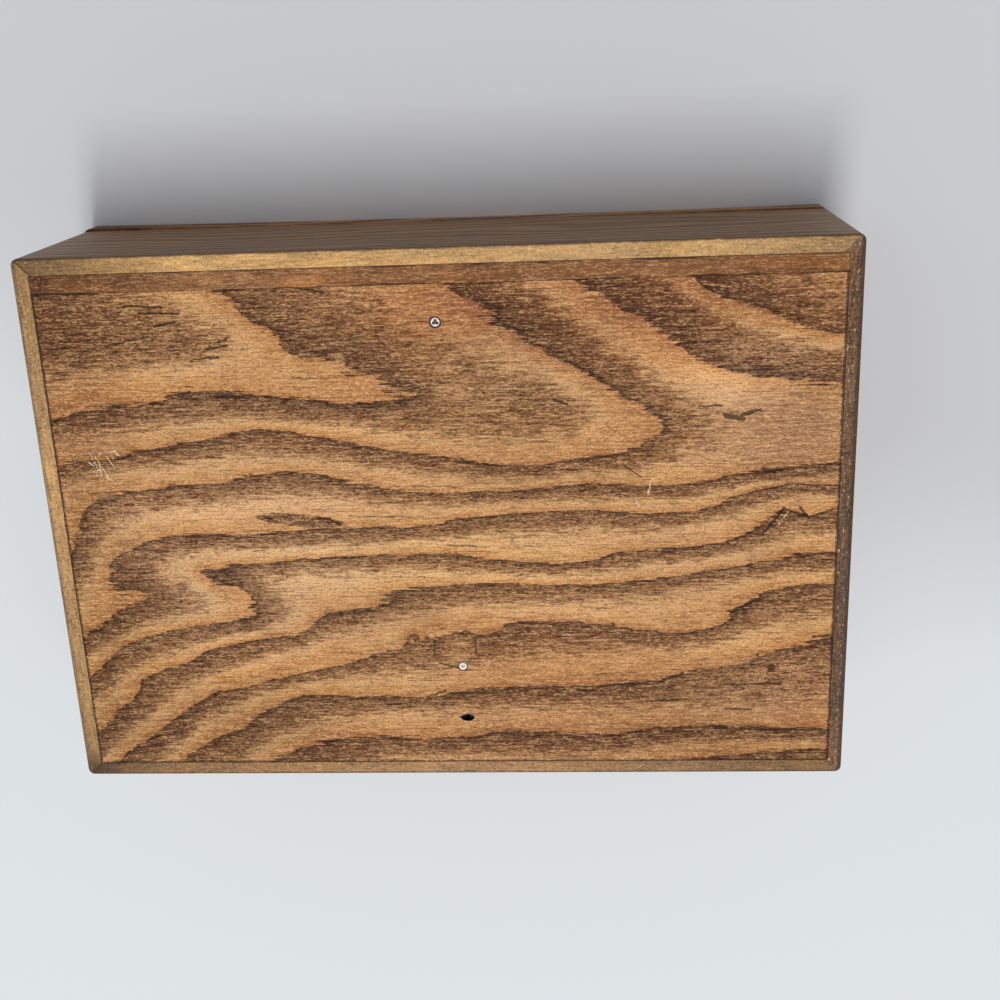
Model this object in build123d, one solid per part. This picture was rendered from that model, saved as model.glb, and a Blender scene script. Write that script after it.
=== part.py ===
from build123d import *
import os

# Wooden trinket box with a hinged lid. All sizes are in millimetres.
# The box stands on its bottom: +Z is up, the front wall faces -Y and the hinges are at +Y.
# The origin is the centre of the underside of the four side boards.

# Side boards, mitred at the corners
box_length = 203.0
box_depth = 140.6
wall_height = 49.5
wall_thickness = 8.0
corner_radius = 1.7
wall_arris_radius = 0.4

# Rim: what shows of each side board round the bottom, the rest is rebated away
front_rim = 4.1
back_rim = 3.5
left_rim = 3.9
right_rim = 3.5

# Bottom panel and the filler strip that makes up its width at the front
bottom_thickness = 5.0
filler_width = 4.6
bottom_seam = 0.1

# Divider across the box, let into the front and back boards
divider_thickness = 6.5
divider_offset = 1.9
divider_drop = 4.0
groove_depth = 2.0
groove_clearance = 0.1

# Nails through the bottom into the divider, with one nail lost from its hole
nail_head_diameter = 2.3
nail_head_height = 0.6
nail_shank_diameter = 1.3
nail_length = 16.0
nail_tip_height = 1.6
nail_sink = 0.15
nail_dimple_radius = 0.45
nail_dimple_depth = 0.25
nail_clearance = 0.05
front_nail_from_front = 18.0
front_nail_sideways = -1.4
rear_nail_from_back = 31.6
rear_nail_sideways = 1.0
lost_nail_from_back = 16.7
lost_nail_sideways = 1.6
lost_nail_mouth_length = 3.3
lost_nail_mouth_width = 1.7
lost_nail_mouth_depth = 1.2

# Lid, flush with the walls except along the front, where its hand-sanded edge is slightly hollow
lid_thickness = 8.0
lid_overhang_left = 0.8
lid_overhang_middle = 0.05
lid_overhang_right = 0.45
lid_corner_radius = 2.6
lid_top_radius = 2.2
lid_lower_radius = 0.3

# Butt hinges, let into the back board and the lid
hinge_inset = 38.0
hinge_length = 25.0
leaf_thickness = 0.9
leaf_width = 6.6
mortise_clearance = 0.1
barrel_radius = 1.7
barrel_clearance = 0.3
knuckle_count = 5
knuckle_gap = 0.16
pin_radius = 0.8
pin_clearance = 0.05
pin_end_radius = 0.25

# Countersunk screws, two in each hinge leaf
screw_from_end = 5.0
screw_from_face = 3.3
screw_length = 6.0
screw_shank_radius = 0.85
screw_head_radius = 1.75
screw_head_height = 1.0
screw_rim_height = 0.15
screw_tip_height = 1.2
screw_slot_width = 0.5
screw_slot_depth = 0.4
screw_sink = 0.08
screw_clearance = 0.05

# Places worked out from the sizes
left_face = -box_length / 2
right_face = box_length / 2
front_face = -box_depth / 2
back_face = box_depth / 2
seam_height = wall_height
divider_top = wall_height - divider_drop
groove_front = front_face + wall_thickness - groove_depth
groove_back = back_face - wall_thickness + groove_depth
filler_inner_face = front_face + front_rim + filler_width
barrel_offset = barrel_radius + barrel_clearance
hinge_axis_y = back_face + barrel_offset
hinge_places = {
    "left": left_face + hinge_inset,
    "right": right_face - hinge_inset,
}
nail_places = {
    "front": (divider_offset + front_nail_sideways, front_face + front_nail_from_front),
    "rear": (divider_offset + rear_nail_sideways, back_face - rear_nail_from_back),
}
lost_nail_place = (divider_offset + lost_nail_sideways, back_face - lost_nail_from_back)


def span_box(x_from, x_to, y_from, y_to, z_from, z_to):
    """Block between two limits along each axis."""
    size = (x_to - x_from, y_to - y_from, z_to - z_from)
    middle = ((x_from + x_to) / 2, (y_from + y_to) / 2, (z_from + z_to) / 2)
    return Pos(*middle) * Box(*size)


def rounded_block(block, corner, lower, upper):
    """Block with rounded upright corners, then a rounded lower and upper rim."""
    block = fillet(block.edges().filter_by(Axis.Z), corner)
    block = fillet(block.edges().group_by(Axis.Z)[0], lower)
    return fillet(block.edges().group_by(Axis.Z)[-1], upper)


def nail_form(clearance):
    """Nail with its head down at Z 0 and its point up, grown by a clearance."""
    head = Cylinder(nail_head_diameter / 2 + clearance, nail_head_height + clearance,
                    align=(Align.CENTER, Align.CENTER, Align.MIN))
    shank_radius = nail_shank_diameter / 2 + clearance
    shank_height = nail_length - nail_tip_height
    shank = Cylinder(shank_radius, shank_height, align=(Align.CENTER, Align.CENTER, Align.MIN))
    tip = Cone(shank_radius, clearance, nail_tip_height + clearance,
               align=(Align.CENTER, Align.CENTER, Align.MIN))
    return head + shank + Pos(0, 0, shank_height) * tip


def screw_form(clearance):
    """Countersunk screw with its head up at Z 0 and its point down, grown by a clearance."""
    hang = (Align.CENTER, Align.CENTER, Align.MAX)
    head_radius = screw_head_radius + clearance
    shank_radius = screw_shank_radius + clearance
    cone_height = screw_head_height - screw_rim_height
    shank_height = screw_length - screw_head_height - screw_tip_height
    rim = Cylinder(head_radius, screw_rim_height, align=hang)
    cone = Pos(0, 0, -screw_rim_height) * Cone(shank_radius, head_radius, cone_height, align=hang)
    shank = Pos(0, 0, -screw_head_height) * Cylinder(shank_radius, shank_height, align=hang)
    tip_top = -screw_head_height - shank_height
    tip = Pos(0, 0, tip_top) * Cone(clearance, shank_radius, screw_tip_height + clearance, align=hang)
    return rim + cone + shank + tip


def screw_hole():
    """Room for a screw, open above its head."""
    mouth = Cylinder(screw_head_radius + screw_clearance, screw_sink + screw_clearance,
                     align=(Align.CENTER, Align.CENTER, Align.MIN))
    return screw_form(screw_clearance) + mouth


def screw_spots(side):
    """Places of one leaf's two screws at the seam, named by the end of the box they are nearer."""
    middle = hinge_places[side]
    y = back_face - screw_from_face
    reach = hinge_length / 2 - screw_from_end
    outward = -1 if side == "left" else 1
    return {
        "outer": Pos(middle + outward * reach, y, seam_height),
        "inner": Pos(middle - outward * reach, y, seam_height),
    }


def head_down():
    """Turn that points a screw up into the lid."""
    return Rot(X=180)


def mortise(side, floor, roof):
    """Recess for one hinge leaf between two heights, open at the back face."""
    middle = hinge_places[side]
    half = hinge_length / 2 + mortise_clearance
    inner = back_face - leaf_width - mortise_clearance
    return span_box(middle - half, middle + half, inner, hinge_axis_y, floor, roof)


def nail_room():
    """Everything that the nails and the lost nail take out of the wood."""
    room = []
    for x, y in nail_places.values():
        dent = Cylinder(nail_head_diameter / 2 + nail_clearance, nail_sink + nail_clearance,
                        align=(Align.CENTER, Align.CENTER, Align.MIN))
        room.append(Pos(x, y, 0) * dent)
        room.append(Pos(x, y, nail_sink) * nail_form(nail_clearance))
    x, y = lost_nail_place
    mouth = extrude(Ellipse(lost_nail_mouth_length / 2, lost_nail_mouth_width / 2),
                    lost_nail_mouth_depth)
    hole = Cylinder(nail_shank_diameter / 2, nail_length, align=(Align.CENTER, Align.CENTER, Align.MIN))
    room.append(Pos(x, y, 0) * mouth)
    room.append(Pos(x, y, 0) * hole)
    return room


def side_boards():
    """The four mitred boards, cut from one rounded frame."""
    block = span_box(left_face, right_face, front_face, back_face, 0, wall_height)
    frame = rounded_block(block, corner_radius, wall_arris_radius, wall_arris_radius)
    frame -= span_box(left_face + wall_thickness, right_face - wall_thickness,
                      front_face + wall_thickness, back_face - wall_thickness, 0, wall_height)
    frame -= span_box(left_face + left_rim, right_face - right_rim,
                      front_face + front_rim, back_face - back_rim, 0, bottom_thickness)
    half_groove = divider_thickness / 2 + groove_clearance
    frame -= span_box(divider_offset - half_groove, divider_offset + half_groove,
                      groove_front - groove_clearance, groove_back + groove_clearance,
                      bottom_thickness, divider_top + groove_clearance)
    for side in hinge_places:
        frame -= mortise(side, seam_height - leaf_thickness, seam_height)
        for spot in screw_spots(side).values():
            frame -= spot * Pos(0, 0, -screw_sink) * screw_hole()

    outer = {
        "front": ((left_face, front_face), (right_face, front_face)),
        "right": ((right_face, front_face), (right_face, back_face)),
        "back": ((right_face, back_face), (left_face, back_face)),
        "left": ((left_face, back_face), (left_face, front_face)),
    }
    boards = {}
    for side, ends in outer.items():
        inner = [(x - wall_thickness * (1 if x > 0 else -1), y - wall_thickness * (1 if y > 0 else -1))
                 for x, y in reversed(ends)]
        outline = make_face(Polyline(*ends, *inner, close=True))
        boards[f"{side}_board"] = frame & extrude(outline, wall_height)
    return boards


def bottom():
    """Bottom panel and filler strip, flush with the rim, with a fine seam round both."""
    seam_left = left_face + left_rim + bottom_seam
    seam_right = right_face - right_rim - bottom_seam
    panel = span_box(seam_left, seam_right, filler_inner_face + bottom_seam,
                     back_face - back_rim - bottom_seam, 0, bottom_thickness)
    for room in nail_room():
        panel -= room
    strip = span_box(seam_left, seam_right, front_face + front_rim + bottom_seam,
                     filler_inner_face, 0, bottom_thickness)
    return {"bottom_panel": panel, "bottom_filler_strip": strip}


def divider():
    """Crosswise board that makes two compartments."""
    board = span_box(divider_offset - divider_thickness / 2, divider_offset + divider_thickness / 2,
                     groove_front, groove_back, bottom_thickness, divider_top)
    for room in nail_room():
        board -= room
    return {"divider": board}


def nails():
    """Nails left in the bottom, each with a small dimple in its head."""
    dimple = Cone(nail_dimple_radius, nail_dimple_radius / 2, nail_dimple_depth,
                  align=(Align.CENTER, Align.CENTER, Align.MIN))
    nail = nail_form(0) - dimple
    return {f"{name}_nail": Pos(x, y, nail_sink) * nail for name, (x, y) in nail_places.items()}


def lid_outline():
    """Outline of the lid seen from above, with its front edge hollowed along an arc."""
    front_left = (left_face, front_face - lid_overhang_left)
    front_middle = ((left_face + right_face) / 2, front_face - lid_overhang_middle)
    front_right = (right_face, front_face - lid_overhang_right)
    front_edge = ThreePointArc(front_left, front_middle, front_right)
    other_edges = Polyline(front_right, (right_face, back_face), (left_face, back_face), front_left)
    return make_face(Curve() + [front_edge, other_edges])


def lid():
    """Flat lid with rounded edges and recesses for the hinge leaves."""
    block = Pos(0, 0, seam_height) * extrude(lid_outline(), lid_thickness)
    panel = rounded_block(block, lid_corner_radius, lid_lower_radius, lid_top_radius)
    for side in hinge_places:
        panel -= mortise(side, seam_height, seam_height + leaf_thickness)
        for spot in screw_spots(side).values():
            panel -= spot * Pos(0, 0, screw_sink) * head_down() * screw_hole()
    return {"lid_panel": panel}


def knuckles(first):
    """Knuckle cylinders of one leaf, every second one from the first, with their limits along X."""
    pitch = (hinge_length + knuckle_gap) / knuckle_count
    width = pitch - knuckle_gap
    for number in range(first, knuckle_count, 2):
        start = -hinge_length / 2 + number * pitch
        yield start, start + width


def hinge_leaf(first, low, high):
    """Leaf along X with its barrel on the X axis, between two heights, reaching towards -Y."""
    barrel_edge = -barrel_radius - barrel_clearance
    leaf = span_box(-hinge_length / 2, hinge_length / 2, -barrel_offset - leaf_width, barrel_edge,
                    low, high)
    for start, end in knuckles(first):
        tab = span_box(start, end, barrel_edge, 0, low, high)
        barrel = Rot(Y=90) * Cylinder(barrel_radius, end - start)
        leaf += tab + Pos((start + end) / 2, 0, 0) * barrel
    return leaf - Rot(Y=90) * Cylinder(pin_radius + pin_clearance, hinge_length)


def hinges():
    """Two butt hinges with their pins and screws."""
    box_leaf = hinge_leaf(0, -leaf_thickness, 0)
    lid_leaf = hinge_leaf(1, 0, leaf_thickness)
    pin = Rot(Y=90) * Cylinder(pin_radius, hinge_length)
    pin = fillet(pin.edges().filter_by(GeomType.CIRCLE), pin_end_radius)
    slot = Box(2 * screw_head_radius, screw_slot_width, 2 * screw_slot_depth)
    screw = screw_form(0) - slot

    pieces = {}
    for side, x in hinge_places.items():
        place = Pos(x, hinge_axis_y, seam_height)
        box_side = place * box_leaf
        lid_side = place * lid_leaf
        for name, spot in screw_spots(side).items():
            box_spot = spot * Pos(0, 0, -screw_sink)
            lid_spot = spot * Pos(0, 0, screw_sink) * head_down()
            box_side -= box_spot * screw_hole()
            lid_side -= lid_spot * screw_hole()
            pieces[f"{side}_hinge_box_screw_{name}"] = box_spot * screw
            pieces[f"{side}_hinge_lid_screw_{name}"] = lid_spot * screw
        pieces[f"{side}_hinge_box_leaf"] = box_side
        pieces[f"{side}_hinge_lid_leaf"] = lid_side
        pieces[f"{side}_hinge_pin"] = place * pin
    return pieces


parts = side_boards() | bottom() | divider() | nails() | lid() | hinges()
os.makedirs("parts", exist_ok=True)
for name, shape in parts.items():
    export_step(shape, f"parts/{name}.step")
    print(f"{name}: {len(shape.solids())} solid, {shape.volume:.1f} cubic mm")
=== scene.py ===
import math
from functools import reduce

import bmesh
import bpy
import numpy as np
from mathutils import Matrix, Vector


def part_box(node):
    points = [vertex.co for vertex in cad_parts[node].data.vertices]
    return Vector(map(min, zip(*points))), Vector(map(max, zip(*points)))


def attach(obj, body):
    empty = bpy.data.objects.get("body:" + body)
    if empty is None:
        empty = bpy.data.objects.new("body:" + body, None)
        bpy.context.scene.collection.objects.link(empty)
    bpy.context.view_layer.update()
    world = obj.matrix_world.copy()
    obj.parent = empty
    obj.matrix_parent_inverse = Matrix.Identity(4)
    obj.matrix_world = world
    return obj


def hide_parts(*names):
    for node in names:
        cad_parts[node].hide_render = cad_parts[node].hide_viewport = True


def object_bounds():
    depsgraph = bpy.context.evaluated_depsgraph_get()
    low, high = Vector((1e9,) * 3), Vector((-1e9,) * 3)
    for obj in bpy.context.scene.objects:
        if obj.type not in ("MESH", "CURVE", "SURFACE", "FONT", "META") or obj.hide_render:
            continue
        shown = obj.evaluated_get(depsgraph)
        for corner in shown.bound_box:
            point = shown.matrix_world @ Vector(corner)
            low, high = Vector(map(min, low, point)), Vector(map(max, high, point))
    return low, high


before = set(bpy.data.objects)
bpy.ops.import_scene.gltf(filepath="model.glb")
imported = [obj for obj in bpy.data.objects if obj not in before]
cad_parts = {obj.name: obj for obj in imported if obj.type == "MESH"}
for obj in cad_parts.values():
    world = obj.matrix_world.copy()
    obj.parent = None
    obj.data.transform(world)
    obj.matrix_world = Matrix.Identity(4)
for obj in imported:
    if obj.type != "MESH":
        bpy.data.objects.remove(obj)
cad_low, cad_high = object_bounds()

millimetre = 0.001
base_height = cad_low.z
lid_height = cad_high.z
box_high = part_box("back_board")[1]
panel_low, panel_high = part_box("bottom_panel")
x_axis, y_axis = 0, 1
screen_gamma = 2.2


def linear(red, green, blue):
    """Colour written as 0 to 255 on screen, as the shader's linear values."""
    def channel(value):
        value /= 255
        return value / 12.92 if value <= 0.04045 else ((value + 0.055) / 1.055) ** 2.4
    return (channel(red), channel(green), channel(blue), 1)


class Graph:
    """Node tree of a material or a world, with short calls for the nodes that it is made of."""

    def __init__(self, owner, output="ShaderNodeOutputMaterial"):
        self.owner = owner
        self.owner.use_nodes = True
        self.tree = self.owner.node_tree
        self.tree.nodes.clear()
        self.output = self.tree.nodes.new(output)

    def add(self, kind, inputs=None, **settings):
        """Node with its settings, and its inputs given as values or as sockets to link."""
        node = self.tree.nodes.new(kind)
        for key, value in settings.items():
            setattr(node, key, value)
        for key, value in (inputs or {}).items():
            if isinstance(value, bpy.types.NodeSocket):
                self.tree.links.new(value, node.inputs[key])
            else:
                node.inputs[key].default_value = value
        return node

    def math(self, operation, *values):
        return self.add("ShaderNodeMath", dict(enumerate(values)), operation=operation).outputs[0]

    def plus(self, first, second):
        return self.math("ADD", first, second)

    def minus(self, first, second):
        return self.math("SUBTRACT", first, second)

    def times(self, first, second):
        return self.math("MULTIPLY", first, second)

    def larger(self, first, second):
        return self.math("MAXIMUM", first, second)

    def smaller(self, first, second):
        return self.math("MINIMUM", first, second)

    def vector(self, operation, *values, gives="Vector"):
        """Vector worked out from others."""
        node = self.add("ShaderNodeVectorMath", dict(enumerate(values)), operation=operation)
        return node.outputs[gives]

    def measure(self, operation, *values):
        """Number worked out from vectors."""
        return self.vector(operation, *values, gives="Value")

    def place(self):
        """Place on the object in millimetres."""
        here = self.add("ShaderNodeTexCoord").outputs["Object"]
        return self.vector("MULTIPLY", here, (1 / millimetre,) * 3)

    def axes(self, place):
        """The three parts of a place."""
        parts = self.add("ShaderNodeSeparateXYZ", {"Vector": place}).outputs
        return parts["X"], parts["Y"], parts["Z"]

    def turned(self, place, turn):
        """Place turned about the three axes by degrees."""
        inputs = {"Vector": place, "Rotation": [math.radians(angle) for angle in turn]}
        return self.add("ShaderNodeMapping", inputs).outputs["Vector"]

    def noise(self, place, stretch, detail=3, roughness=0.55, shift=(0, 0, 0), twist=0):
        """Smooth noise from 0 to 1, with the size of its grains along each axis in millimetres."""
        inputs = {"Vector": place, "Location": shift, "Scale": [1 / size for size in stretch]}
        placed = self.add("ShaderNodeMapping", inputs).outputs["Vector"]
        inputs = {"Vector": placed, "Scale": 1, "Detail": detail, "Roughness": roughness,
                  "Distortion": twist}
        return self.add("ShaderNodeTexNoise", inputs).outputs["Fac"]

    def fade(self, value, start, end, low=0, high=1):
        """Soft step of a value between two levels."""
        return self.level(value, start, end, low, high, "SMOOTHSTEP")

    def level(self, value, start, end, low, high, kind="LINEAR"):
        """Map of a value from one range to another."""
        inputs = {"Value": value, "From Min": start, "From Max": end, "To Min": low, "To Max": high}
        return self.add("ShaderNodeMapRange", inputs, interpolation_type=kind).outputs["Result"]

    def mix(self, amount, first, second, blend="MIX"):
        """Two colours mixed by an amount."""
        inputs = {0: amount, 6: first, 7: second}
        return self.add("ShaderNodeMix", inputs, data_type="RGBA", blend_type=blend).outputs[2]

    def shaded(self, colour, shade):
        """Colour multiplied by a number."""
        parts = {"Red": shade, "Green": shade, "Blue": shade}
        grey = self.add("ShaderNodeCombineColor", parts).outputs["Color"]
        return self.mix(1, colour, grey, "MULTIPLY")

    def ramp(self, value, stops):
        """Colour along a list of (position, colour) stops."""
        node = self.add("ShaderNodeValToRGB", {"Fac": value})
        elements = node.color_ramp.elements
        while len(elements) < len(stops):
            elements.new(1)
        for element, (position, colour) in zip(elements, stops):
            element.position = position
            element.color = colour
        return node.outputs["Color"]

    def bump(self, height, depth):
        """Normal of a relief, with its depth in millimetres."""
        inputs = {"Height": height, "Strength": 1, "Distance": depth * millimetre}
        return self.add("ShaderNodeBump", inputs).outputs["Normal"]

    def finish(self, **inputs):
        """Material with a principled surface that has these inputs."""
        named = {key.replace("_", " "): value for key, value in inputs.items()}
        return self.shown(self.add("ShaderNodeBsdfPrincipled", named).outputs["BSDF"])

    def shown(self, shader):
        """The tree's material or world, with this shader joined to its output."""
        self.tree.links.new(shader, self.output.inputs["Surface"])
        return self.owner


# Stain colours, and colours of painted shade and painted light, as they show on screen
early_edge = linear(97, 63, 40)
early_wood = linear(116, 77, 47)
fading_wood = linear(127, 86, 53)
middle_wood = linear(151, 107, 66)
pale_wood = linear(201, 152, 99)
late_wood = linear(189, 136, 79)
late_edge = linear(171, 112, 57)
ring_stops = [(0.0, early_edge), (0.1, early_wood), (0.28, fading_wood), (0.47, middle_wood),
              (0.65, pale_wood), (0.82, late_wood), (1.0, late_edge)]
fibre_dark = linear(66, 35, 13)
fibre_light = linear(208, 163, 114)
hair_colour = linear(104, 62, 30)
check_colour = linear(40, 22, 12)
# near-black painted shade in the lost nail's hole and in the gaps round the nail heads
hole_shade_colour = linear(10, 5, 4)
scratch_colour = linear(236, 214, 178)
grime_colour = linear(58, 36, 22)
knot_colour = linear(64, 28, 10)
faded_wood = linear(162, 118, 80)
wall_tint = linear(198, 203, 198)
lid_tint = linear(212, 202, 188)
inner_tint = linear(250, 240, 226)
# painted shade on the lid's outer edges
edge_shade_colour = linear(58, 32, 24)
# painted highlights: pale glints on the rims
painted_glint_colour = linear(222, 192, 140)
# painted light that makes the walls paler towards their ends
end_light_colour = linear(170, 150, 126)
nail_bright = linear(196, 182, 176)
# dark of the nails where tarnished, and of the painted dark reflection on their heads' rounded edges
nail_dark = linear(30, 16, 14)
brass_tones = [(0.3, linear(128, 96, 48)), (0.5, linear(186, 148, 82)), (0.7, linear(206, 172, 104))]
wood_gloss = 0.15
wall_gloss = 0.3

# Depth of each surface's relief in millimetres
panel_relief = 0.1
board_relief = 0.07
strip_relief = 0.08
brass_relief = 0.02
nail_relief = 0.03

# Share of each kind of fibre in the wood's texture, and how strong hairlines and specks are
fleck_share = 0.46
streak_share = 0.34
blotch_share = 0.2
hair_cover = 0.65
speck_spread = 0.34
strip_strength = 0.65

# How much of the wood's own colour each mark covers, from 0 to 1
torn_cover = 0.75
seam_cover = 0.85
knot_cover = 0.88
# dark rings round the nail heads: rust stain with painted shade of the gap round each head
nail_shade_and_rust_cover = 0.95
line_cover = 0.8
crack_cover = 0.85
scratch_cover = 0.7
blob_cover = 0.8
strip_seam_cover = 0.75
# painted shade on the lid's outer edges covers this much of the wood's colour
edge_shade_cover = 0.7
# painted light on the wall ends covers this much of the wood's colour
end_light_cover = 0.5
mitre_cover = 0.75
corner_cover = 0.6

# Where marks on the boards begin and end, in millimetres from an edge, an arris or a point
seam_reach = (0.65, 0.3)
# painted shade reaches this far in from the lid's outer edges
edge_shade_reach = (0.5, 0.1)
rim_top = (0.12, 0.04)
wall_foot = (0.12, 0.3)
# painted light reaches this far in from the wall ends
end_light_reach = (14, 0)
mitre_reach = (0.32, 0.06)
arris_reach = (0.75, 0.3)
dirty_corner = (-101, 69.5, 0)
dirty_reach = (11, 2)

# Soft edges of marks: where they begin and are full, as shares of their half size
stroke_edge = (1.25, 0.55)
lens_edge = (1.12, 0.95)
# soft edge of the painted shade in the lost nail's hole
hole_shade_edge = (1.12, 0.9)
blob_edge = (1.4, 0.6)
spot_edge = (1.06, 0.9)
patch_edge = (1.15, 0.35)

# Stain tones along the filler strip, from its left end in millimetres from the box's middle
filler_tones = [
    (-97, linear(106, 67, 33)), (-76, linear(118, 73, 36)), (-56, linear(143, 96, 57)),
    (-40, linear(133, 87, 51)), (-28, linear(152, 98, 53)), (-14, linear(117, 74, 38)),
    (6, linear(133, 83, 40)), (30, linear(118, 75, 38)), (97, linear(130, 80, 38)),
]
strip_blob = (-95, -64.4)
strip_blob_half = (2.6, 2.2)

# Each rim's tone, its shades along the board, and how flecked, how strongly glinting with painted
# highlights and how dirty it is
golden_rim = (
    linear(186, 143, 85),
    [(-101, 0.58), (-76, 0.81), (-60, 1.02), (-44, 1.02), (-20, 0.97), (50, 0.94), (68, 0.97), (101, 0.74)],
    1, 0.45, 0.7,
)
tan_rim = (
    linear(169, 130, 82),
    [(-70, 0.8), (-52, 0.93), (-30, 0.94), (-14, 1.08), (2, 1.03), (30, 0.97), (50, 0.94), (70, 0.78)],
    1.2, 0.3, 0.35,
)
dark_rim = (
    linear(93, 62, 35), [(-70, 1.05), (-15, 1.08), (5, 0.92), (50, 0.98), (70, 1.18)],
    2.1, 0.6, 0.75,
)
brown_rim = (
    linear(151, 111, 67),
    [(-101, 0.6), (-72, 0.92), (-40, 0.98), (-8, 1.03), (36, 0.98), (56, 0.86), (101, 0.79)],
    1.3, 0.3, 0.7,
)

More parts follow.
